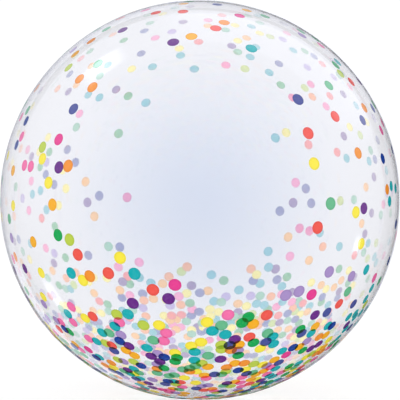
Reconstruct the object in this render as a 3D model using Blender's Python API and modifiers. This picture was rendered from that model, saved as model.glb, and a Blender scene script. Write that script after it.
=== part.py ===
"""A clear stretch-film bubble balloon, blown up round, with its tied neck folded back behind it.

Two round sheets of film are welded round their edge into one bag, and the blown bag stretches into
a ball. The weld runs round the ball as a fine bead, in the upright plane that faces the viewer.
At the bottom the film narrows to a filling neck, which lies back on the surface that the balloon
rests on. It is knotted close behind the ball, and its loose end fans out past the knot. The bag is
sealed, so it is one closed solid. Metres, +Z up, the printed front faces -Y, and the origin is on
the surface, straight below the middle of the ball.
"""

import math

import bmesh
import bpy

# The blown ball
DIAMETER = 0.610
REST_RADIUS = 0.030         # the round patch that lies flat on the surface
ROUND_STEPS = 72            # facets round the ball

# The weld between the front and the back sheet
WELD_WIDTH = 0.0050
WELD_HEIGHT = 0.0012
WELD_DEPTH = 0.0040         # how far the bead's root is sunk in the ball

# The neck, from the ball back to the knot
NECK_WIDTH = 0.058          # the gathered film where it leaves the ball
NECK_THICKNESS = 0.0080
NECK_OVERLAP = 0.004        # how far it starts inside the edge of the resting patch
THROAT_WIDTH = 0.0085       # where the knot pinches it
THROAT_THICKNESS = 0.0076
NECK_SECTIONS = 7

# The knot, a lump with one roll of film round it
KNOT_WIDTH = 0.0190
KNOT_HEIGHT = 0.0135
KNOT_LENGTH = 0.0120
KNOT_CLEARANCE = 0.0030     # between the knot and the underside of the ball
ROLL_THICKNESS = 0.0052
ROLL_LEAN = math.radians(24)

# The loose end past the knot
TAIL_LENGTH = 0.046
TAIL_WIDTH = 0.032
TAIL_THICKNESS = 0.0022
TAIL_SECTIONS = 6

OVAL_STEPS = 20             # facets round the neck, the knot and the tail
ROLL_STEPS = 8              # facets round the roll of film
LIFT = 0.0003               # the neck, the knot and the tail lie this far above the surface

RADIUS = DIAMETER / 2
CENTRE_HEIGHT = math.sqrt(RADIUS ** 2 - REST_RADIUS ** 2)
NECK_START = REST_RADIUS - NECK_OVERLAP


def distance_behind(height):
    """How far behind the middle the underside of the ball is this high above the surface."""
    return math.sqrt(RADIUS ** 2 - (CENTRE_HEIGHT - height) ** 2)


KNOT_START = distance_behind(LIFT + KNOT_HEIGHT + KNOT_CLEARANCE)
KNOT_END = KNOT_START + KNOT_LENGTH
KNOT_MIDDLE = (KNOT_START + KNOT_END) / 2


def film_material():
    """Clear film with a faint blue-lavender cast."""
    material = bpy.data.materials.new("clear_film")
    material.use_nodes = True
    shader = material.node_tree.nodes["Principled BSDF"]
    shader.inputs["Base Color"].default_value = (0.72, 0.76, 0.88, 1)
    shader.inputs["Roughness"].default_value = 0.06
    shader.inputs["Metallic"].default_value = 0
    shader.inputs["Alpha"].default_value = 0.35
    return material


def new_object(name, mesh, collection):
    """Put a mesh into the scene as an object."""
    piece = bpy.data.objects.new(name, mesh)
    collection.objects.link(piece)
    return piece


def make_helper(piece, collection):
    """A cutter, or a piece that is joined to another, shows as wire and isn't rendered."""
    for owner in list(piece.users_collection):
        owner.objects.unlink(piece)
    collection.objects.link(piece)
    piece.hide_render = True
    piece.display_type = "WIRE"
    return piece


def turned(name, points, closed, collection):
    """Turn an outline of (radius, height) points round the object's own Z axis."""
    edges = [(i, i + 1) for i in range(len(points) - 1)]
    if closed:
        edges.append((len(points) - 1, 0))
    mesh = bpy.data.meshes.new(name)
    mesh.from_pydata([(radius, 0, height) for radius, height in points], edges, [])
    piece = new_object(name, mesh, collection)
    turn = piece.modifiers.new("turn", "SCREW")
    turn.steps = ROUND_STEPS
    turn.render_steps = ROUND_STEPS
    turn.use_merge_vertices = True
    turn.merge_threshold = 0.00005
    turn.use_smooth_shade = True
    return piece


def ball(collection):
    """The blown bag, from its top down to the flat patch that it rests on."""
    step = 2 * math.pi / ROUND_STEPS
    last = math.pi - math.asin(REST_RADIUS / RADIUS)
    angles = [i * step for i in range(int((last - step / 4) / step) + 1)] + [last]
    outline = [(RADIUS * math.sin(a), CENTRE_HEIGHT + RADIUS * math.cos(a)) for a in angles]
    outline[0] = (0, CENTRE_HEIGHT + RADIUS)
    outline[-1] = (REST_RADIUS, 0)
    outline.append((0, 0))
    return turned("balloon", outline, False, collection)


def weld_bead(collection):
    """The bead, turned round the line from the front of the ball to its back."""
    root = RADIUS - WELD_DEPTH
    crown = RADIUS + WELD_HEIGHT
    crown_half = WELD_WIDTH * 0.2
    outline = [
        (root, WELD_WIDTH / 2),
        (RADIUS, WELD_WIDTH / 2),
        (crown, crown_half),
        (crown, -crown_half),
        (RADIUS, -WELD_WIDTH / 2),
        (root, -WELD_WIDTH / 2),
    ]
    bead = turned("weld_bead", outline, True, collection)
    bead.location = (0, 0, CENTRE_HEIGHT)
    bead.rotation_euler = (math.pi / 2, 0, 0)
    return make_helper(bead, collection)


def surface_cutter(collection):
    """A block whose top is the surface that the balloon rests on."""
    bpy.ops.mesh.primitive_cube_add(size=DIAMETER, location=(0, 0, -DIAMETER / 2))
    block = bpy.context.object
    block.name = "surface"
    return make_helper(block, collection)


def neck_sections():
    """The neck, knot and tail as (distance behind the middle, width, thickness, middle height)."""
    knot_height = LIFT + KNOT_HEIGHT / 2
    sections = []
    for i in range(NECK_SECTIONS):
        share = i / (NECK_SECTIONS - 1)
        width = THROAT_WIDTH + (NECK_WIDTH - THROAT_WIDTH) * (1 - share) ** 1.5
        thickness = NECK_THICKNESS + (THROAT_THICKNESS - NECK_THICKNESS) * share
        lying = LIFT + thickness / 2
        middle = lying + (knot_height - lying) * share ** 2
        sections.append((NECK_START + (KNOT_START - NECK_START) * share, width, thickness, middle))
    for share, fullness in ((0.2, 0.85), (0.5, 1.0), (0.8, 0.85)):
        distance = KNOT_START + KNOT_LENGTH * share
        sections.append((distance, KNOT_WIDTH * fullness, KNOT_HEIGHT * fullness, knot_height))
    for i in range(TAIL_SECTIONS):
        share = i / (TAIL_SECTIONS - 1)
        opening = 1 - (1 - share) ** 2
        width = THROAT_WIDTH + (TAIL_WIDTH - THROAT_WIDTH) * opening
        thickness = TAIL_THICKNESS + (THROAT_THICKNESS - TAIL_THICKNESS) * (1 - share) ** 3
        lying = LIFT + thickness / 2
        middle = lying + (knot_height - lying) * (1 - share) ** 3
        sections.append((KNOT_END + TAIL_LENGTH * share, width, thickness, middle))
    return sections


def oval(distance, width, thickness, middle):
    """One oval section across the line that runs back from the ball."""
    ring = []
    for step in range(OVAL_STEPS):
        angle = 2 * math.pi * step / OVAL_STEPS
        across = width / 2 * math.cos(angle)
        up = thickness / 2 * math.sin(angle)
        ring.append((across, distance, middle + up))
    return ring


def tied_neck(collection):
    """The neck, the knot and the tail, one run of ovals that lies on the surface."""
    bm = bmesh.new()
    rings = [[bm.verts.new(point) for point in oval(*section)] for section in neck_sections()]
    for ring, following in zip(rings, rings[1:]):
        for i in range(OVAL_STEPS):
            j = (i + 1) % OVAL_STEPS
            bm.faces.new((ring[i], ring[j], following[j], following[i]))
    bm.faces.new(rings[0])
    bm.faces.new(rings[-1])
    bmesh.ops.recalc_face_normals(bm, faces=bm.faces)
    mesh = bpy.data.meshes.new("tied_neck")
    bm.to_mesh(mesh)
    bm.free()
    return make_helper(new_object("tied_neck", mesh, collection), collection)


def knot_roll(collection):
    """The roll of film that goes aslant round the knot."""
    bpy.ops.mesh.primitive_torus_add(
        major_segments=OVAL_STEPS, minor_segments=ROLL_STEPS,
        major_radius=1, minor_radius=0.5)
    ring = bpy.context.object
    ring.name = "knot_roll"
    thick = ROLL_THICKNESS / 2
    across = KNOT_WIDTH / 2 - thick / 2
    high = KNOT_HEIGHT / 2 - thick
    for vertex in ring.data.vertices:
        angle = math.atan2(vertex.co.y, vertex.co.x)
        out = (math.hypot(vertex.co.x, vertex.co.y) - 1) * 2 * thick
        vertex.co.x = (across + out) * math.cos(angle)
        vertex.co.y = (high + out) * math.sin(angle)
        vertex.co.z = vertex.co.z * 2 * thick
    ring.rotation_euler = (math.pi / 2, 0, ROLL_LEAN)
    ring.location = (0, KNOT_MIDDLE, LIFT + KNOT_HEIGHT / 2)
    return make_helper(ring, collection)


def combine(piece, other, operation):
    """Join another solid to a piece, or cut it away."""
    step = piece.modifiers.new(other.name, "BOOLEAN")
    step.operation = operation
    step.object = other


def main():
    for old in list(bpy.data.objects):
        bpy.data.objects.remove(old)
    model = bpy.data.collections.new("bubble_balloon")
    helpers = bpy.data.collections.new("cutters")
    bpy.context.scene.collection.children.link(model)
    bpy.context.scene.collection.children.link(helpers)

    balloon = ball(model)
    balloon.data.materials.append(film_material())
    combine(balloon, weld_bead(helpers), "UNION")
    combine(balloon, tied_neck(helpers), "UNION")
    combine(balloon, knot_roll(helpers), "UNION")
    combine(balloon, surface_cutter(helpers), "DIFFERENCE")


main()
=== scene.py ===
"""The looks of a clear bubble balloon printed with confetti dots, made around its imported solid."""

import math
import random

import bpy
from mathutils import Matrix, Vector


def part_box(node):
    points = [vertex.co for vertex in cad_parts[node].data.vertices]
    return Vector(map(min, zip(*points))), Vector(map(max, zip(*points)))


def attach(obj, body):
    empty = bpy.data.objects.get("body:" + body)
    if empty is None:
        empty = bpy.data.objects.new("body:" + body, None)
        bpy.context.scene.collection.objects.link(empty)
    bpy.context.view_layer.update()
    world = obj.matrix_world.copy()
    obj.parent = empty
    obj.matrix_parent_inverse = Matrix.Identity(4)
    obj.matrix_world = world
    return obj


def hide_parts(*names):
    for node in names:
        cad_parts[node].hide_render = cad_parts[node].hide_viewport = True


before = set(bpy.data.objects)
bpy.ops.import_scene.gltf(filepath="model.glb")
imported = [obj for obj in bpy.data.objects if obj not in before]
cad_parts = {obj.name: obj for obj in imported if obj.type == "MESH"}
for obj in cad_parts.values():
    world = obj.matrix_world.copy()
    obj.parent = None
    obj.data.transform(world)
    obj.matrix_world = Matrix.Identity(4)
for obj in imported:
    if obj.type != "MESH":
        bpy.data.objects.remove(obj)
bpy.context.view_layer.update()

view_layer = bpy.context.view_layer

# The blown film bag
# Two round sheets of clear stretch film are welded round their edge and blown up until they
# stretch into a ball. It stands on a small patch that its weight presses flat, and tight pleats
# run out over the film from the neck in the middle of that patch.
high = Vector(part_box("balloon")[1])
WELD_HEIGHT = high.x - high.y
PRINT_ROOM = 0.0004             # between the film and the solid's surface, for the ink
SOLID_RADIUS = high.y
BALL_RADIUS = SOLID_RADIUS - PRINT_ROOM
CENTRE = Vector((0, 0, high.z - high.x))
FILM_THICKNESS = 0.00012
REST_LIFT = 0.0008              # the neck's flat film lies between the bag and the surface
REST_SOFTNESS = 0.0012          # how softly the flat patch turns up into the ball
BAG_SEGMENTS = 216
BAG_RINGS = 150
RING_CROWDING = 1.30            # rings lie closer together towards the pleats
PLEATS = 26
PLEAT_DEPTH = 0.0011
PLEAT_REACH = math.radians(19)  # from the lowest point, where the last pleat fades out
PLEAT_START = math.radians(3.5)


class Tree:
    """A node tree with short ways to add nodes and sums."""

    def __init__(self, tree):
        self.tree = tree

    def node(self, kind, links=(), **settings):
        """Add a node, set its properties, and fill its inputs from values or other sockets."""
        node = self.tree.nodes.new(kind)
        for name, value in settings.items():
            setattr(node, name, value)
        for name, value in dict(links).items():
            self.fill(node.inputs[name], value)
        return node

    def fill(self, socket, value):
        """Link a socket, or set it to a plain value."""
        if isinstance(value, bpy.types.NodeSocket):
            self.tree.links.new(value, socket)
        else:
            socket.default_value = value

    def maths(self, operation, *values):
        """One sum on numbers."""
        links = {i: value for i, value in enumerate(values)}
        return self.node("ShaderNodeMath", links, operation=operation).outputs[0]

    def vectors(self, operation, *values):
        """One sum on vectors, or the one number that it gives."""
        node = self.node("ShaderNodeVectorMath", operation=operation)
        for socket, value in zip(node.inputs, values):
            self.fill(socket, value)
        scalar = operation in ("LENGTH", "DOT_PRODUCT", "DISTANCE")
        return node.outputs["Value" if scalar else "Vector"]

    def ramp(self, value, low_end, high_end, to_low=0.0, to_high=1.0):
        """Smoothly turn a range of one value into another range."""
        links = {"Value": value, "From Min": low_end, "From Max": high_end,
                 "To Min": to_low, "To Max": to_high}
        node = self.node("ShaderNodeMapRange", links, interpolation_type="SMOOTHSTEP")
        return node.outputs["Result"]

    def mix(self, share, first, second, blend="MIX"):
        """Mix two colours, whose sockets come after the node's number and vector ones."""
        node = self.node("ShaderNodeMix", {0: share, 6: first, 7: second},
                         data_type="RGBA", blend_type=blend)
        return node.outputs[2]


def geometry_tree(name, inputs):
    """A Geometry Nodes tree with named inputs, as {name: (socket type, value)}."""
    group = bpy.data.node_groups.new(name, "GeometryNodeTree")
    group.interface.new_socket("Geometry", in_out="INPUT", socket_type="NodeSocketGeometry")
    group.interface.new_socket("Geometry", in_out="OUTPUT", socket_type="NodeSocketGeometry")
    for label, (kind, value) in inputs.items():
        socket = group.interface.new_socket(label, in_out="INPUT", socket_type=kind)
        if value is not None:
            socket.default_value = value
    tree = Tree(group)
    given = tree.node("NodeGroupInput")
    result = tree.node("NodeGroupOutput")
    return tree, given.outputs, result.inputs["Geometry"]


def put_in_scene(name, mesh):
    """A mesh as an object of its own at the origin."""
    piece = bpy.data.objects.new(name, mesh)
    bpy.context.scene.collection.objects.link(piece)
    return piece


def made_plain(name, piece):
    """The piece with its modifiers worked into a plain mesh."""
    view_layer.update()
    evaluated = piece.evaluated_get(bpy.context.evaluated_depsgraph_get())
    mesh = bpy.data.meshes.new_from_object(evaluated)
    mesh.name = name
    bpy.data.objects.remove(piece)
    return put_in_scene(name, mesh)


def grow(name, mesh, tree, values, thickness=None):
    """Run a tree on a mesh with its values set, with a wall inwards if it is film."""
    start = put_in_scene(name + "_start", mesh)
    step = start.modifiers.new("nodes", "NODES")
    step.node_group = tree.tree
    for item in tree.tree.interface.items_tree:
        if item.in_out == "INPUT" and item.name in values:
            step[item.identifier] = values[item.name]
    if thickness:
        add_wall(start, thickness)
    return made_plain(name, start)


def add_wall(piece, thickness):
    """Give film its thickness, inwards from its outer face."""
    wall = piece.modifiers.new("wall", "SOLIDIFY")
    wall.thickness = thickness
    wall.offset = -1
    wall.use_even_offset = False


def new_material(name):
    """A material with its own Principled shader, as (material, tree, shader)."""
    material = bpy.data.materials.new(name)
    material.use_nodes = True
    tree = Tree(material.node_tree)
    return material, tree, material.node_tree.nodes["Principled BSDF"]


def colour(red, green, blue):
    """A screen colour, 0 to 255, as the linear colour that a shader takes."""
    linear = []
    for part in (red, green, blue):
        part = part / 255
        linear.append(part / 12.92 if part <= 0.04045 else ((part + 0.055) / 1.055) ** 2.4)
    return (*linear, 1.0)


def add_piece(piece):
    """Make a finished piece part of the balloon."""
    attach(piece, "root")


MIDDLE_TINT = colour(233, 237, 246)     # what one wall lets through in the middle of a sheet
EDGE_TINT = colour(249, 249, 251)       # and out towards the weld
TINT_FADES = (0.0, 0.95)               # of the radius, out from the middle of the sheet
FILM_GLOSS = 0.015
PUCKERS = 96                    # small waves round the weld, where the film is gathered to it
PUCKER_DEPTH = 0.00009
PUCKER_REACH = 0.040
WAVER_DEPTH = 0.00016           # the unevenness of the stretched film

film, tree, shader = new_material("clear_film")
place = tree.node("ShaderNodeTexCoord").outputs["Object"]
from_centre = tree.vectors("SUBTRACT", place, tuple(CENTRE))
across = tree.vectors("LENGTH", tree.vectors("MULTIPLY", from_centre, (1, 0, 1)))
fade = tree.ramp(tree.maths("DIVIDE", across, BALL_RADIUS), *TINT_FADES)
tree.fill(shader.inputs["Base Color"], tree.mix(fade, MIDDLE_TINT, EDGE_TINT))
ripple = tree.node("ShaderNodeTexNoise", {"Vector": place, "Scale": 7.0, "Detail": 2.0})
tree.fill(shader.inputs["Roughness"],
          tree.ramp(ripple.outputs["Fac"], 0.35, 0.75, FILM_GLOSS, FILM_GLOSS * 2.5))
shader.inputs["Transmission Weight"].default_value = 1.0
shader.inputs["IOR"].default_value = 1.45
x, y, z = tree.node("ShaderNodeSeparateXYZ", {0: from_centre}).outputs
round_weld = tree.maths("ARCTAN2", z, x)
drift = tree.node("ShaderNodeTexNoise", {"Vector": place, "Scale": 5.0, "Detail": 1.0})
swing = tree.maths("ADD", tree.maths("MULTIPLY", round_weld, PUCKERS),
                   tree.maths("MULTIPLY", drift.outputs["Fac"], 9.0))
near_weld = tree.ramp(tree.maths("ABSOLUTE", y), 0.0, PUCKER_REACH, 1.0, 0.0)
puckers = tree.maths("MULTIPLY", tree.maths("MULTIPLY", tree.maths("SINE", swing), near_weld),
                     PUCKER_DEPTH)
slack = tree.node("ShaderNodeTexNoise", {"Vector": place, "Scale": 9.0, "Detail": 1.0})
waver = tree.maths("MULTIPLY", slack.outputs["Fac"], WAVER_DEPTH)
relief = tree.node("ShaderNodeBump", {"Height": tree.maths("ADD", puckers, waver),
                                      "Distance": 1.0, "Strength": 1.0})
tree.fill(shader.inputs["Normal"], relief.outputs[0])

pleat_group = bpy.data.node_groups.new("neck_pleats", "GeometryNodeTree")
for label, kind in (("Direction", "NodeSocketVector"), ("Pleats", "NodeSocketFloat"),
                    ("Depth", "NodeSocketFloat")):
    pleat_group.interface.new_socket(label, in_out="INPUT", socket_type=kind)
pleat_group.interface.new_socket("Sunk", in_out="OUTPUT", socket_type="NodeSocketFloat")
pleating = Tree(pleat_group)
taken = pleating.node("NodeGroupInput").outputs
x, y, z = pleating.node("ShaderNodeSeparateXYZ", {0: taken["Direction"]}).outputs
from_lowest = pleating.maths("ARCCOSINE", pleating.maths("MULTIPLY", z, -1.0))
fades = pleating.maths("MULTIPLY",
                       pleating.ramp(from_lowest, PLEAT_START * 0.2, PLEAT_START),
                       pleating.ramp(from_lowest, PLEAT_START, PLEAT_REACH, 1.0, 0.0))
lean = pleating.node("ShaderNodeTexNoise", {"Vector": taken["Direction"], "Scale": 3.1,
                                            "Detail": 1.0})
turns = pleating.maths("ADD",
                       pleating.maths("MULTIPLY", pleating.maths("ARCTAN2", y, x), taken["Pleats"]),
                       pleating.maths("MULTIPLY", lean.outputs["Fac"], 7.0))
wave = pleating.maths("ABSOLUTE", pleating.maths("SINE", pleating.maths("MULTIPLY", turns, 0.5)))
sunk = pleating.maths("MULTIPLY", pleating.maths("MULTIPLY", wave, fades), taken["Depth"])
pleating.node("NodeGroupOutput", {"Sunk": sunk})

bag_tree, given, result = geometry_tree("film_bag", {
    "Radius": ("NodeSocketFloat", BALL_RADIUS),
    "Centre Height": ("NodeSocketFloat", CENTRE.z),
    "Rest Lift": ("NodeSocketFloat", REST_LIFT),
    "Rest Softness": ("NodeSocketFloat", REST_SOFTNESS),
    "Pleats": ("NodeSocketFloat", PLEATS),
    "Pleat Depth": ("NodeSocketFloat", PLEAT_DEPTH),
    "Film": ("NodeSocketMaterial", None),
})
sphere = bag_tree.node("GeometryNodeMeshUVSphere",
                       {"Segments": BAG_SEGMENTS, "Rings": BAG_RINGS, "Radius": 1.0})
place = bag_tree.node("GeometryNodeInputPosition").outputs[0]
x, y, z = bag_tree.node("ShaderNodeSeparateXYZ", {0: place}).outputs
down = bag_tree.maths("MULTIPLY", z, -1.0)
up = bag_tree.maths("ARCCOSINE", bag_tree.maths("MAXIMUM", down, -1.0))
share = bag_tree.maths("POWER", bag_tree.maths("DIVIDE", up, math.pi), RING_CROWDING)
angle = bag_tree.maths("MULTIPLY", share, math.pi)
bearing = bag_tree.maths("ARCTAN2", y, x)
level = bag_tree.maths("SINE", angle)
direction = bag_tree.node("ShaderNodeCombineXYZ", {
    "X": bag_tree.maths("MULTIPLY", level, bag_tree.maths("COSINE", bearing)),
    "Y": bag_tree.maths("MULTIPLY", level, bag_tree.maths("SINE", bearing)),
    "Z": bag_tree.maths("MULTIPLY", bag_tree.maths("COSINE", angle), -1.0),
}).outputs[0]
pleats = bag_tree.node("GeometryNodeGroup", node_tree=pleat_group)
for socket, value in zip(pleats.inputs, (direction, given["Pleats"], given["Pleat Depth"])):
    bag_tree.fill(socket, value)
reach = bag_tree.maths("SUBTRACT", given["Radius"], pleats.outputs["Sunk"])
blown = bag_tree.node("ShaderNodeVectorMath", {0: direction, "Scale": reach}, operation="SCALE")
x, y, z = bag_tree.node("ShaderNodeSeparateXYZ", {0: blown.outputs[0]}).outputs
height = bag_tree.maths("ADD", given["Centre Height"], z)
settled = bag_tree.maths("SMOOTH_MAX", height, given["Rest Lift"], given["Rest Softness"])
moved = bag_tree.node("ShaderNodeCombineXYZ", {"X": x, "Y": y, "Z": settled})
shaped = bag_tree.node("GeometryNodeSetPosition",
                       {"Geometry": sphere.outputs["Mesh"], "Position": moved.outputs[0]})
smooth = bag_tree.node("GeometryNodeSetShadeSmooth", {"Geometry": shaped.outputs[0]})
solid = bag_tree.node("GeometryNodeRealizeInstances", {"Geometry": smooth.outputs[0]})
clad = bag_tree.node("GeometryNodeSetMaterial",
                     {"Geometry": solid.outputs[0], "Material": given["Film"]})
bag_tree.fill(result, clad.outputs[0])

bag = grow("film_bag", bpy.data.meshes.new("film_bag_start"), bag_tree,
           {"Film": film, "Pleats": PLEATS, "Pleat Depth": PLEAT_DEPTH}, FILM_THICKNESS)
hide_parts("balloon")
add_piece(bag)

# The edge weld
# Where the two sheets meet, a hot ring pressed and melted them together in a narrow band with fine
# crimps across it. Blown up, the band stands proud of the ball as a low clear bead.
WELD_WIDTH = 0.0050
WELD_SINK = 0.0003              # how far the bead goes into the film
WELD_TURNS = 720
WELD_SIDES = 16
WELD_CRIMPS = 360
CRIMP_DEPTH = 0.00012
WELD_PRESSED = 0.0002           # where the ball's weight presses it, its height off the surface
BEAD_HALF = (SOLID_RADIUS + WELD_HEIGHT - BALL_RADIUS + WELD_SINK) / 2  # of its height


def ring_faces(rings, sides, closed):
    """The faces between rings of points, each with the same number of points."""
    faces = []
    for i in range(rings if closed else rings - 1):
        for j in range(sides):
            k = (j + 1) % sides
            n = (i + 1) % rings
            faces.append((i * sides + j, i * sides + k, n * sides + k, n * sides + j))
    return faces


def mesh_of(name, points, faces, material):
    """A smooth mesh of one material. Its faces are given so that they look outward."""
    mesh = bpy.data.meshes.new(name)
    mesh.from_pydata(points, [], faces)
    mesh.materials.append(material)
    mesh.shade_smooth()
    return mesh


points = []
for i in range(WELD_TURNS):
    turn = 2 * math.pi * i / WELD_TURNS
    crimp = CRIMP_DEPTH * (0.5 + 0.5 * math.cos(WELD_CRIMPS * turn))
    for j in range(WELD_SIDES):
        side = 2 * math.pi * j / WELD_SIDES
        reach = BALL_RADIUS - WELD_SINK + BEAD_HALF * (1 + math.cos(side))
        reach -= crimp * max(0, math.cos(side))
        away = WELD_WIDTH / 2 * math.sin(side)
        pressed = WELD_PRESSED + REST_LIFT * (0.5 - 0.5 * math.cos(side))
        height = max(pressed, CENTRE.z + reach * math.sin(turn))
        points.append((reach * math.cos(turn), away, height))

weld_film, tree, shader = new_material("welded_film")
place = tree.node("ShaderNodeTexCoord").outputs["Object"]
haze = tree.node("ShaderNodeTexNoise", {"Vector": place, "Scale": 60.0, "Detail": 3.0})
tree.fill(shader.inputs["Base Color"],
          tree.mix(haze.outputs["Fac"], colour(236, 238, 247), colour(250, 250, 253)))
tree.fill(shader.inputs["Roughness"], tree.ramp(haze.outputs["Fac"], 0.3, 0.7, 0.04, 0.13))
shader.inputs["Transmission Weight"].default_value = 1.0
shader.inputs["IOR"].default_value = 1.45

weld = put_in_scene("edge_weld", mesh_of("edge_weld", points,
                                         ring_faces(WELD_TURNS, WELD_SIDES, True), weld_film))
add_piece(weld)

# The confetti print
# Round dots of ink are screen printed on the outside of the flat sheets, each ink over the last, so
# where two dots cross their colours deepen. The ink has a milky back, so through the film from
# inside a dot looks pale, and that back has a painted glow, emitted light standing for daylight
# through the ink. The dots crowd at the bottom and leave a clear window in each sheet.
DOT_RADIUS = 0.0087
INK_THICKNESS = 0.00004
INK_STEP = 0.00007              # each ink lies this much above the ones that it crosses
DOT_SIDES = 22
PRINT_SEED = 24
CLOSEST_DOTS = (0.95, 0.50)     # of a dot's width, between middles, high up and at the bottom
EDGE_SHRINK = 0.13              # dots at the weld are this much smaller
BACK_SHEET_SHARE = 1.25         # the back sheet carries this many times the front's dots
MOST_LAYERS = 1.8               # of dots over one another, on average, where they crowd the most
CROSSINGS = 4                   # inks below one dot that its colour counts
WINDOW_MIDDLE = 0.13            # the clear window's middle, up from the sheet's, in ball radii
WINDOW_SIZE = (0.50, 0.52)      # its half width and half height in ball radii
WINDOW_EDGE = 0.42              # how softly the print starts round it
COVER_HIGH_UP = 0.085           # the share that dots cover near the top
COVER_HALF_WAY = 0.025          # what is added from there down to the middle
COVER_LOW_DOWN = 0.06           # and from the middle down
COVER_OF_CROWD = 0.70           # what the crowd at the bottom adds
CROWD_STARTS = (0.33, 0.84)     # below the middle in ball radii, from its start to its fullest
COVER_AT_WELD = 0.07            # what the less stretched film by the weld adds
NECK_BARE = math.radians(8.5)   # no print this close to the lowest point
WELD_BARE = 0.0022              # nor this close to the weld
# an ink's name, its colour on a screen, and its weight among the dots
INKS = [
    ("amber", (253, 180, 20), 10),
    ("orange", (250, 152, 46), 7),
    ("yellow", (255, 238, 64), 12),
    ("lime", (192, 213, 74), 5),
    ("coral", (246, 88, 76), 6),
    ("hot pink", (250, 114, 174), 7),
    ("magenta", (236, 60, 148), 4),
    ("purple", (106, 36, 138), 7),
    ("indigo", (70, 80, 156), 5),
    ("royal blue", (4, 60, 156), 7),
    ("teal", (0, 178, 184), 16),
    ("green", (0, 170, 82), 7),
    ("sea green", (104, 190, 142), 10),
    ("lilac", (172, 146, 204), 6),
]
POOLED_EDGE = 0.35              # how much darker ink pools at a dot's edge
BACK_STRENGTH = 0.64            # how much of an ink's colour shows on its milky back
PAINTED_BACK_GLOW = 0.36                # the painted glow of a dot's back: emitted light standing for daylight through the ink


def smoothly(value, start, end):
    """0 before start, 1 after end, and an even curve between."""
    share = min(1, max(0, (value - start) / (end - start)))
    return share * share * (3 - 2 * share)


def cover(across, up):
    """The share of the sheet that dots cover, at a place given in ball radii from its middle."""
    ring = math.hypot(across / WINDOW_SIZE[0], (up - WINDOW_MIDDLE) / WINDOW_SIZE[1])
    loose = (COVER_HIGH_UP + COVER_HALF_WAY * smoothly(-up, -0.6, 0.0)
             + COVER_LOW_DOWN * smoothly(-up, 0.0, 0.5))
    dense = COVER_OF_CROWD * smoothly(-up, *CROWD_STARTS)
    edge = COVER_AT_WELD * smoothly(math.hypot(across, up), 0.72, 1.0)
    return smoothly(ring, 1 - WINDOW_EDGE * 0.4, 1 + WINDOW_EDGE) * (loose + dense + edge)


def dot_size(place):
    """A dot's size beside one in a sheet's middle, where the blown film is stretched the most."""
    return 1 - EDGE_SHRINK * smoothly(math.hypot(place.x, place.z), 0.55, 1.0)


def scatter(seed):
    """Places for the dots over the whole ball, as directions from its centre."""
    chance = random.Random(seed)
    tries = int(MOST_LAYERS * 4 * BALL_RADIUS ** 2 / DOT_RADIUS ** 2)
    kept = []
    for _ in range(tries):
        up = chance.uniform(-1, 1)
        turn = chance.uniform(0, 2 * math.pi)
        pick = chance.uniform(0, MOST_LAYERS)
        level = math.sqrt(1 - up * up)
        place = Vector((level * math.cos(turn), level * math.sin(turn), up))
        wanted = -math.log(1 - cover(place.x, place.z)) * (BACK_SHEET_SHARE if place.y > 0 else 1)
        if pick > wanted or math.acos(-up) < NECK_BARE:
            continue
        if abs(place.y) * BALL_RADIUS < WELD_BARE + DOT_RADIUS:
            continue
        apart = CLOSEST_DOTS[0] + (CLOSEST_DOTS[1] - CLOSEST_DOTS[0]) * smoothly(-up, 0.2, 0.7)
        closest = apart * 2 * DOT_RADIUS / BALL_RADIUS
        if all((place - other).length > closest for other in kept):
            kept.append(place)
    return kept


dots = scatter(PRINT_SEED)
chance = random.Random(PRINT_SEED + 1)
dot_colours = [colour(*chance.choices(INKS, [ink[2] for ink in INKS])[0][1]) for _ in dots]
layers = []
crossed = []
for i, place in enumerate(dots):
    reach = 2 * DOT_RADIUS / BALL_RADIUS
    under = [j for j in range(i) if (dots[j] - place).length < reach]
    under.sort(key=lambda j: (dots[j] - place).length)
    layers.append(1 + max([layers[j] for j in under], default=0))
    crossed.append(under[:CROSSINGS])

FAR_AWAY = (9.0, 9.0, 9.0)      # stands for no dot below


def store(mesh, name, kind, values):
    """Write one value for each point of a mesh."""
    attribute = mesh.attributes.new(name, kind, "POINT")
    field = {"FLOAT": "value", "FLOAT_VECTOR": "vector", "FLOAT_COLOR": "color"}[kind]
    flat = values if kind == "FLOAT" else [part for value in values for part in value]
    attribute.data.foreach_set(field, flat)


def spots_on(name, side):
    """A point for each dot of one sheet, with its ink, its layer and the inks below it."""
    mine = [i for i, place in enumerate(dots) if place.y * side > 0]
    spots = bpy.data.meshes.new(name)
    spots.from_pydata([CENTRE + dots[i] * BALL_RADIUS for i in mine], [], [])
    store(spots, "lift", "FLOAT", [layers[i] * INK_STEP for i in mine])
    store(spots, "size", "FLOAT", [dot_size(dots[i]) for i in mine])
    store(spots, "ink", "FLOAT_COLOR", [dot_colours[i] for i in mine])
    for k in range(CROSSINGS):
        below = [crossed[i][k] if k < len(crossed[i]) else None for i in mine]
        store(spots, f"below_place_{k}", "FLOAT_VECTOR",
              [FAR_AWAY if j is None else tuple(CENTRE + dots[j] * BALL_RADIUS) for j in below])
        store(spots, f"below_ink_{k}", "FLOAT_COLOR",
              [(1, 1, 1, 1) if j is None else dot_colours[j] for j in below])
    return spots


ink_group = bpy.data.node_groups.new("crossing_ink", "ShaderNodeTree")
for label, kind in (("Place", "NodeSocketVector"), ("Middle", "NodeSocketVector"),
                    ("Radius", "NodeSocketFloat"), ("Colour", "NodeSocketColor"),
                    ("Ink Below", "NodeSocketColor")):
    ink_group.interface.new_socket(label, in_out="INPUT", socket_type=kind)
ink_group.interface.new_socket("Colour", in_out="OUTPUT", socket_type="NodeSocketColor")
crossing = Tree(ink_group)
taken = crossing.node("NodeGroupInput").outputs
gap = crossing.vectors("DISTANCE", taken["Place"], taken["Middle"])
inside = crossing.maths("LESS_THAN", gap, taken["Radius"])
deeper = crossing.mix(inside, taken["Colour"],
                      crossing.mix(1.0, taken["Colour"], taken["Ink Below"], "MULTIPLY"))
crossing.node("NodeGroupOutput", {"Colour": deeper})

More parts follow.
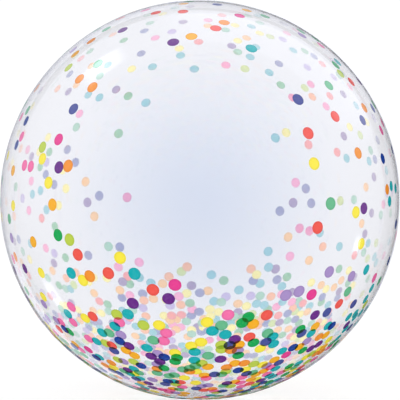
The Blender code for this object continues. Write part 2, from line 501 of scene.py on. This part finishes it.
ink, tree, shader = new_material("confetti_ink")
place = tree.node("ShaderNodeTexCoord").outputs["Object"]
shade = tree.node("ShaderNodeAttribute", attribute_name="ink").outputs["Color"]
spread = tree.node("ShaderNodeAttribute", attribute_name="spread").outputs["Fac"]
shade = tree.mix(tree.ramp(spread, 0.55, 1.0, 0.0, POOLED_EDGE), shade,
                 tree.mix(1.0, shade, (0.62, 0.62, 0.66, 1), "MULTIPLY"))
size = tree.node("ShaderNodeAttribute", attribute_name="size").outputs["Fac"]
radius = tree.maths("MULTIPLY", size, DOT_RADIUS)
for k in range(CROSSINGS):
    middle = tree.node("ShaderNodeAttribute", attribute_name=f"below_place_{k}").outputs["Vector"]
    below = tree.node("ShaderNodeAttribute", attribute_name=f"below_ink_{k}").outputs["Color"]
    step = tree.node("ShaderNodeGroup", node_tree=ink_group)
    for socket, value in zip(step.inputs, (place, middle, radius, shade, below)):
        tree.fill(socket, value)
    shade = step.outputs[0]
back = tree.node("ShaderNodeAttribute", attribute_name="back").outputs["Fac"]
milky_and_glow = tree.mix(BACK_STRENGTH, (1, 1, 1, 1), shade)
mottle = tree.node("ShaderNodeTexNoise", {"Vector": place, "Scale": 260.0, "Detail": 3.0})
printed = tree.mix(tree.ramp(mottle.outputs["Fac"], 0.3, 0.8, 0.0, 0.025), shade, (1, 1, 1, 1))
tree.fill(shader.inputs["Base Color"], tree.mix(back, printed, milky_and_glow))
tree.fill(shader.inputs["Roughness"], tree.ramp(mottle.outputs["Fac"], 0.3, 0.8, 0.20, 0.32))
# painted light: the dots' backs glow in their milky colour, standing for daylight through the ink
tree.fill(shader.inputs["Emission Color"], tree.mix(back, (0, 0, 0, 1), milky_and_glow))
shader.inputs["Emission Strength"].default_value = PAINTED_BACK_GLOW
shader.inputs["Specular IOR Level"].default_value = 0.1
shader.inputs["Coat Weight"].default_value = 1.0
shader.inputs["Coat IOR"].default_value = 1.65
shader.inputs["Coat Roughness"].default_value = 0.02

print_tree, given, result = geometry_tree("confetti_print", {
    "Dot Radius": ("NodeSocketFloat", DOT_RADIUS),
    "Ink Thickness": ("NodeSocketFloat", INK_THICKNESS),
    "Sides": ("NodeSocketInt", DOT_SIDES),
    "Ball Radius": ("NodeSocketFloat", BALL_RADIUS),
    "Ball Centre": ("NodeSocketVector", tuple(CENTRE)),
    "Pleats": ("NodeSocketFloat", PLEATS),
    "Pleat Depth": ("NodeSocketFloat", PLEAT_DEPTH),
    "Ink": ("NodeSocketMaterial", None),
})
disc = print_tree.node("GeometryNodeMeshCylinder", {
    "Vertices": given["Sides"], "Side Segments": 1, "Fill Segments": 2,
    "Radius": given["Dot Radius"], "Depth": given["Ink Thickness"]}, fill_type="TRIANGLE_FAN")
own_place = print_tree.node("GeometryNodeInputPosition").outputs[0]
flat_place = print_tree.vectors("MULTIPLY", own_place, (1, 1, 0))
shape = disc.outputs["Mesh"]
for label, domain, value in (
        ("back", "FACE", disc.outputs["Bottom"]),
        ("rise", "POINT", print_tree.node("ShaderNodeSeparateXYZ", {0: own_place}).outputs["Z"]),
        ("spread", "POINT", print_tree.maths(
            "DIVIDE", print_tree.vectors("LENGTH", flat_place), given["Dot Radius"]))):
    kept = print_tree.node("GeometryNodeStoreNamedAttribute", {"Geometry": shape, "Name": label},
                           data_type="FLOAT", domain=domain)
    print_tree.fill(kept.inputs["Value"], value)
    shape = kept.outputs[0]
spot_place = print_tree.node("GeometryNodeInputPosition").outputs[0]
outward = print_tree.vectors("SUBTRACT", spot_place, given["Ball Centre"])
facing = print_tree.node("FunctionNodeAlignRotationToVector", {"Vector": outward}, axis="Z")
size = print_tree.node("GeometryNodeInputNamedAttribute", {"Name": "size"}, data_type="FLOAT")
across = print_tree.node("ShaderNodeCombineXYZ",
                         {"X": size.outputs[0], "Y": size.outputs[0], "Z": 1.0})
points = print_tree.node("GeometryNodeMeshToPoints", {"Mesh": given["Geometry"]})
copies = print_tree.node("GeometryNodeInstanceOnPoints", {
    "Points": points.outputs[0], "Instance": shape, "Rotation": facing.outputs[0],
    "Scale": across.outputs[0]})
real = print_tree.node("GeometryNodeRealizeInstances", {"Geometry": copies.outputs[0]})
now = print_tree.node("GeometryNodeInputPosition").outputs[0]
ray = print_tree.vectors("NORMALIZE", print_tree.vectors("SUBTRACT", now, given["Ball Centre"]))
lift = print_tree.node("GeometryNodeInputNamedAttribute", {"Name": "lift"}, data_type="FLOAT")
rise = print_tree.node("GeometryNodeInputNamedAttribute", {"Name": "rise"}, data_type="FLOAT")
pleats = print_tree.node("GeometryNodeGroup", node_tree=pleat_group)
for socket, value in zip(pleats.inputs, (ray, given["Pleats"], given["Pleat Depth"])):
    print_tree.fill(socket, value)
film_reach = print_tree.maths("SUBTRACT", given["Ball Radius"], pleats.outputs["Sunk"])
reach = print_tree.maths("ADD", film_reach,
                         print_tree.maths("ADD", lift.outputs[0], rise.outputs[0]))
laid = print_tree.node("ShaderNodeVectorMath", {0: ray, "Scale": reach}, operation="SCALE")
on_ball = print_tree.vectors("ADD", laid.outputs[0], given["Ball Centre"])
wrapped = print_tree.node("GeometryNodeSetPosition",
                          {"Geometry": real.outputs[0], "Position": on_ball})
inked = print_tree.node("GeometryNodeSetMaterial",
                        {"Geometry": wrapped.outputs[0], "Material": given["Ink"]})
print_tree.fill(result, inked.outputs[0])

for name, side in (("front_confetti", -1), ("back_confetti", 1)):
    add_piece(grow(name, spots_on(name + "_spots", side), print_tree, {"Ink": ink}))

# The neck
# The film is drawn together into a flat pleated neck. It lies between the ball and the surface,
# runs out behind and narrows to the throat that is tied off.
LIFT = 0.0003                   # off the surface
NECK_WIDTH = 0.058
NECK_THICKNESS = 0.0080
NECK_HIDDEN_START = 0.002       # behind the middle, under the bag
NECK_START = 0.026              # where the neck comes out from under the flat patch
NECK_INTO_KNOT = 1.015          # it ends this far out, as a share of the knot's start
THROAT_WIDTH = 0.0085
THROAT_THICKNESS = 0.0076
KNOT_WIDTH = 0.0190
KNOT_HEIGHT = 0.0135
KNOT_LENGTH = 0.0120
KNOT_CLEARANCE = 0.0030
KNOT_MIDDLE_HEIGHT = LIFT + KNOT_HEIGHT / 2
NECK_ROOM = 0.00025             # between the neck and the bag above it
NECK_PLEATS = 17
NECK_SIDES = 136
NECK_RINGS = 60
NECK_PLEAT_DEPTHS = (0.06, 0.32)    # share of the neck's size, at its start and at the throat
GATHER_THICKNESS = 0.00011
FOLD_ROUNDNESS = 0.7            # below 1 the folds are full between sharp creases


def under_ball(behind):
    """The height of the bag's underside at a distance behind the middle."""
    level = CENTRE.z - math.sqrt(BALL_RADIUS ** 2 - behind ** 2)
    return max(REST_LIFT, level)


KNOT_START = math.sqrt(SOLID_RADIUS ** 2
                       - (CENTRE.z - LIFT - KNOT_HEIGHT - KNOT_CLEARANCE) ** 2)
KNOT_END = KNOT_START + KNOT_LENGTH


def pleated_oval(y, width, thickness, middle, sides, pleats, depth, phase):
    """A ring of points round the film's way out, its edge drawn into pleats."""
    ring = []
    for j in range(sides):
        turn = 2 * math.pi * j / sides
        fold = abs(math.sin(pleats * turn / 2 + phase)) ** FOLD_ROUNDNESS
        size = 1 - depth * fold
        ring.append((width / 2 * size * math.cos(turn), y,
                     middle - thickness / 2 * size * math.sin(turn)))
    return ring


rings = []
for i in range(NECK_RINGS):
    share = i / (NECK_RINGS - 1)
    y = KNOT_START * NECK_INTO_KNOT * share + NECK_HIDDEN_START * (1 - share)
    along = min(1, max(0, (y - NECK_START) / (KNOT_START - NECK_START)))
    width = THROAT_WIDTH + (NECK_WIDTH - THROAT_WIDTH) * (1 - along) ** 1.5
    width *= math.sin(math.pi / 2 * min(1, 0.35 + 0.65 * y / NECK_START))
    thickness = NECK_THICKNESS + (THROAT_THICKNESS - NECK_THICKNESS) * along
    middle = LIFT + thickness / 2
    middle += (KNOT_MIDDLE_HEIGHT - middle) * along ** 2
    top = min(middle + thickness / 2, under_ball(y) - NECK_ROOM)
    bottom = max(LIFT, middle - thickness / 2)
    shallow, deep = NECK_PLEAT_DEPTHS
    depth = shallow + (deep - shallow) * along ** 1.5
    rings.append(pleated_oval(y, width * 0.99, top - bottom, (top + bottom) / 2,
                              NECK_SIDES, NECK_PLEATS, depth, 0.8 * along))
points = [point for ring in rings for point in ring]

gathered, tree, shader = new_material("gathered_film")
place = tree.node("ShaderNodeTexCoord").outputs["Object"]
haze = tree.node("ShaderNodeTexNoise", {"Vector": place, "Scale": 90.0, "Detail": 3.0})
tree.fill(shader.inputs["Base Color"],
          tree.mix(haze.outputs["Fac"], colour(243, 244, 250), colour(253, 253, 254)))
tree.fill(shader.inputs["Roughness"], tree.ramp(haze.outputs["Fac"], 0.3, 0.7, 0.05, 0.13))
shader.inputs["Transmission Weight"].default_value = 1.0
shader.inputs["IOR"].default_value = 1.28

neck = put_in_scene("neck_start", mesh_of("pleated_neck", points,
                                          ring_faces(NECK_RINGS, NECK_SIDES, False), gathered))
add_wall(neck, GATHER_THICKNESS)
neck = made_plain("pleated_neck", neck)
add_piece(neck)

# The knot
# The neck is tied in one overhand knot, pulled tight by hand. The gathered film rolls once round
# itself and leans, and its pleats twist round the roll.
ROLL_THICKNESS = 0.0052
ROLL_LEAN = math.radians(24)
ROLL_TURNS = 1.35
ROLL_RINGS = 120
ROLL_SIDES = 48
ROLL_PLEATS = 7
ROLL_PLEAT_DEPTH = 0.16
ROLL_TWIST = 1.1                # how far the pleats turn round the roll for each turn of it
CORE_RINGS = 28
CORE_SIDES = 64
CORE_PLEATS = 12
CORE_PLEAT_DEPTH = 0.13
CORE_TWIST = 2.4
CORE_SHARE = 0.72               # of the knot's width and height
CORE_TUCK = 0.002               # how far the core goes on into the neck and the tail
ROLL_ADVANCE = 0.0042           # how far the roll moves along the neck from end to end


def capped_faces(rings, sides):
    """The faces of a tube of rings with both its ends closed."""
    faces = ring_faces(rings, sides, False)
    faces.append(tuple(reversed(range(sides))))
    faces.append(tuple(range((rings - 1) * sides, rings * sides)))
    return faces


rings = []
for i in range(CORE_RINGS):
    share = i / (CORE_RINGS - 1)
    fullness = 0.62 + 0.30 * math.sin(math.pi * share)
    y = KNOT_START - CORE_TUCK + (KNOT_LENGTH + 2 * CORE_TUCK) * share
    rings.append(pleated_oval(y, KNOT_WIDTH * fullness * CORE_SHARE,
                              KNOT_HEIGHT * fullness * CORE_SHARE, KNOT_MIDDLE_HEIGHT,
                              CORE_SIDES, CORE_PLEATS, CORE_PLEAT_DEPTH, CORE_TWIST * share))
core_points = [point for ring in rings for point in ring]
core_faces = capped_faces(CORE_RINGS, CORE_SIDES)

knotted, tree, shader = new_material("knotted_film")
place = tree.node("ShaderNodeTexCoord").outputs["Object"]
haze = tree.node("ShaderNodeTexNoise", {"Vector": place, "Scale": 150.0, "Detail": 3.0})
tree.fill(shader.inputs["Base Color"],
          tree.mix(haze.outputs["Fac"], colour(238, 240, 248), colour(253, 253, 254)))
tree.fill(shader.inputs["Roughness"], tree.ramp(haze.outputs["Fac"], 0.3, 0.7, 0.22, 0.38))
shader.inputs["Transmission Weight"].default_value = 1.0
shader.inputs["IOR"].default_value = 1.35

roll_points = []
knot_middle = Vector((0, (KNOT_START + KNOT_END) / 2, KNOT_MIDDLE_HEIGHT))
for i in range(ROLL_RINGS):
    share = i / (ROLL_RINGS - 1)
    turn = 2 * math.pi * (ROLL_TURNS * share - 0.25)
    swell = math.sin(math.pi * share) ** 0.35
    thick = ROLL_THICKNESS / 2 * (0.35 + 0.60 * swell)
    way = Vector((math.cos(turn), 0, math.sin(turn)))
    wide = KNOT_WIDTH / 2 - thick
    tall = KNOT_HEIGHT / 2 - thick
    inward = 1 - 0.45 * (1 - swell)
    middle = Vector((wide * way.x, 0, tall * way.z)) * inward
    middle.y = math.tan(ROLL_LEAN) * middle.x * 0.45 + (share - 0.5) * ROLL_ADVANCE
    for j in range(ROLL_SIDES):
        side = 2 * math.pi * j / ROLL_SIDES
        fold = abs(math.sin(ROLL_PLEATS * (side + ROLL_TWIST * turn) / 2)) ** FOLD_ROUNDNESS
        size = thick * (1 - ROLL_PLEAT_DEPTH * fold)
        out = way * size * math.cos(side) + Vector((0, size * math.sin(side), 0))
        roll_points.append(tuple(knot_middle + middle + out))
offset = len(core_points)
faces = core_faces + [tuple(i + offset for i in face)
                      for face in capped_faces(ROLL_RINGS, ROLL_SIDES)]
knot = put_in_scene("tied_knot", mesh_of("tied_knot", core_points + roll_points, faces, knotted))
add_piece(knot)

# The tail
# Past the knot the end of the neck is left long. It opens into a flat fan of film, ruffled towards
# its open mouth.
TAIL_LENGTH = 0.046
TAIL_WIDTH = 0.032
TAIL_THICKNESS = 0.0022
TAIL_RINGS = 64
TAIL_SIDES = 128
TAIL_PLEATS = 15
TAIL_PLEAT_DEPTH = 0.30
TAIL_RUFFLES = 5
RUFFLE_SHARE = 0.28             # of the fan's thickness that its ruffles take up
MOUTH_DROOP = 0.0012            # how far its mouth's edge waves
TAIL_TUCK = 0.001               # how far the tail starts inside the knot

rings = []
for i in range(TAIL_RINGS):
    share = i / (TAIL_RINGS - 1)
    opening = 1 - (1 - share) ** 2
    width = THROAT_WIDTH + (TAIL_WIDTH - THROAT_WIDTH) * opening
    rest = (1 - share) ** 3
    thickness = TAIL_THICKNESS + (THROAT_THICKNESS - TAIL_THICKNESS) * rest
    middle = LIFT + thickness / 2
    middle += (KNOT_MIDDLE_HEIGHT - middle) * rest
    y = KNOT_END - TAIL_TUCK + (TAIL_LENGTH + TAIL_TUCK) * share
    ring = []
    for j in range(TAIL_SIDES):
        turn = 2 * math.pi * j / TAIL_SIDES
        fold = abs(math.sin(TAIL_PLEATS * turn / 2 + 1.2 * share)) ** FOLD_ROUNDNESS
        size = 1 - TAIL_PLEAT_DEPTH * (1 - share) ** 0.8 * fold
        x = width / 2 * 0.985 * size * math.cos(turn)
        ruffle = math.sin(2 * math.pi * TAIL_RUFFLES * (x / width) + 2.2 * share)
        sway = RUFFLE_SHARE * thickness * share * ruffle
        half = thickness / 2 - RUFFLE_SHARE * thickness * share
        z = middle + sway - half * size * math.sin(turn)
        droop = MOUTH_DROOP * share ** 6 * (1 + math.cos(3 * math.pi * x / width))
        ring.append((x, y - droop, z))
    rings.append(ring)
points = [point for ring in rings for point in ring]
tail = put_in_scene("tail_start", mesh_of("ruffled_tail", points,
                                          ring_faces(TAIL_RINGS, TAIL_SIDES, False), gathered))
add_wall(tail, GATHER_THICKNESS)
tail = made_plain("ruffled_tail", tail)
add_piece(tail)

# The floor, the camera and the light
# A plain pale floor in an even white light tent. Only mirrored light finds the tent's grey walls
# and soft boxes, which draw the ball's edge and its highlights.
WHITE = 1.05                    # the tent's brightness
FLOOR_REACH = 40.0
FLOOR_ALBEDO = 0.24             # the rest of the floor's white is lit from below
SHADOW_FADES = (0.8, 2.5)       # from the middle, where the floor stops catching shadow
MIRRORED_TINT = (0.85, 0.875, 1.0, 1)   # the grey walls are slightly blue
floor = put_in_scene("floor", bpy.data.meshes.new("floor"))
floor.data.from_pydata([(x * FLOOR_REACH, y * FLOOR_REACH, 0)
                        for x, y in ((-1, -1), (1, -1), (1, 1), (-1, 1))], [], [(0, 1, 2, 3)])
paper, tree, shader = new_material("pale_floor")
place = tree.node("ShaderNodeTexCoord").outputs["Object"]
catches = tree.ramp(tree.vectors("LENGTH", place), *SHADOW_FADES, FLOOR_ALBEDO, 0.0)
tree.fill(shader.inputs["Base Color"],
          tree.node("ShaderNodeCombineColor", {0: catches, 1: catches, 2: catches}).outputs[0])
shader.inputs["Roughness"].default_value = 1.0
shader.inputs["Specular IOR Level"].default_value = 0.0
shader.inputs["Emission Color"].default_value = (1, 1, 1, 1)
tree.fill(shader.inputs["Emission Strength"],
          tree.maths("MULTIPLY", tree.maths("SUBTRACT", 1.0, catches), WHITE))
floor.data.materials.append(paper)
floor.visible_glossy = False

PHOTO_SIZE = 400
BALL_IN_PHOTO = 200.6           # the ball's outline in the photograph, in pixels from its middle
VIEW_DISTANCE = 5.9 * BALL_RADIUS
camera_data = bpy.data.cameras.new("camera")
camera = put_in_scene("camera", camera_data)
bpy.context.scene.camera = camera
camera.location = CENTRE + Vector((0, -VIEW_DISTANCE, 0))
camera.rotation_euler = (math.pi / 2, 0, 0)
outline_slope = math.tan(math.asin((SOLID_RADIUS + WELD_HEIGHT / 2) / VIEW_DISTANCE))
camera_data.angle = 2 * math.atan(outline_slope * PHOTO_SIZE / 2 / BALL_IN_PHOTO)

world = bpy.data.worlds.new("light_tent")
bpy.context.scene.world = world
world.use_nodes = True
tent = Tree(world.node_tree)
background = world.node_tree.nodes["Background"]


def off_axis(out):
    """How far off the view's axis the ball's front mirrors, at a share of its outline."""
    ray = Vector((outline_slope * out, 1, 0)).normalized()
    to_centre = CENTRE - camera.location
    along = to_centre.dot(ray)
    miss = to_centre.length_squared - along ** 2
    hit = ray * (along - math.sqrt(max(0, BALL_RADIUS ** 2 - miss)))
    return ray.reflect((hit - to_centre).normalized()).angle(Vector((0, 1, 0)))


way = tent.vectors("NORMALIZE", tent.node("ShaderNodeTexCoord").outputs["Generated"])
aside, ahead, rising = tent.node("ShaderNodeSeparateXYZ", {0: way}).outputs
turned = tent.maths("ARCCOSINE", ahead)
clock = tent.maths("ARCTAN2", rising, aside)
panorama = tent.maths("ADD", tent.ramp(rising, -0.35, 0.0, 0.12, 0.43),
                      tent.ramp(rising, 0.0, 0.65, 0.0, 0.42))


def card(seen, start, end, outs, softness, level):
    """Stand a grey card or a soft box where the ball's rim mirrors it, between clock angles."""
    nearest = off_axis(outs[1]) if outs[1] < 1 else 0
    farthest = off_axis(outs[0])
    soft = math.radians(softness)
    middle, half = math.radians((start + end) / 2), math.radians((end - start) / 2)
    swing = tent.maths("ABSOLUTE", tent.maths("WRAP", tent.maths("SUBTRACT", clock, middle),
                                              math.pi, -math.pi))
    blend = min(math.radians(9), half + math.radians(1))
    along = tent.ramp(swing, half - blend, half + blend, 1.0, 0.0)
    within = tent.maths("MULTIPLY", tent.ramp(turned, nearest - soft, nearest + soft),
                        tent.ramp(turned, farthest - soft, farthest + soft, 1.0, 0.0))
    share = tent.maths("MULTIPLY", along, within)
    return tent.maths("ADD", tent.maths("MULTIPLY", seen, tent.maths("SUBTRACT", 1.0, share)),
                      tent.maths("MULTIPLY", share, level))


# clock angles in degrees, shares of the outline, softness in degrees, brightness
CARDS = [
    (-32, 26, (0.920, 0.960), 0.8, 0.0),
    (-32, 26, (0.960, 0.973), 0.6, 0.18),
    (-32, 26, (0.973, 0.992), 0.8, 0.0),
    (-34, 26, (0.992, 1), 0.8, 0.74),
    (26, 96, (0.946, 0.959), 0.6, 0.12),
    (26, 96, (0.959, 0.986), 0.6, 0.56),
    (20, 100, (0.986, 0.994), 0.8, 0.12),
    (22, 104, (0.994, 1), 0.8, 1.00),
    (100, 160, (0.940, 0.966), 0.8, 0.26),
    (100, 200, (0.992, 1), 0.8, 0.56),
    (-75, -34, (0.880, 0.992), 1.5, 0.05),
    (-75, -34, (0.992, 1), 0.8, 0.72),
    (240, 300, (0.900, 1), 1.5, 0.10),
    (24, 98, (0.790, 0.932), 2.0, 1.45),
    (196, 250, (0.955, 0.984), 2.0, 0.95),
    (200, 246, (0.986, 0.994), 0.8, 0.05),
    (198, 246, (0.994, 1), 0.8, 0.66),
    (121, 131, (0.790, 0.860), 2.5, 6.0),
    (209, 217, (0.850, 0.885), 2.0, 4.0),
    (342, 346, (0.800, 0.825), 1.5, 6.0),
]
for start, end, outs, softness, level in CARDS:
    panorama = card(panorama, start, end, outs, softness, level)
path = tent.node("ShaderNodeLightPath").outputs
mirrored = tent.maths("MULTIPLY", path["Is Glossy Ray"],
                      tent.maths("SUBTRACT", 1.0, path["Is Transmission Ray"]))
level = tent.maths("ADD", tent.maths("MULTIPLY", tent.maths("SUBTRACT", 1.0, mirrored), WHITE),
                   tent.maths("MULTIPLY", mirrored, panorama))
tent.fill(background.inputs["Strength"], level)
tent.fill(background.inputs["Color"], tent.mix(mirrored, (1, 1, 1, 1), MIRRORED_TINT))

bpy.context.scene.view_settings.view_transform = "Standard"
cycles = bpy.context.scene.cycles
cycles.max_bounces = 32
cycles.transmission_bounces = 32
cycles.glossy_bounces = 24
cycles.blur_glossy = 0
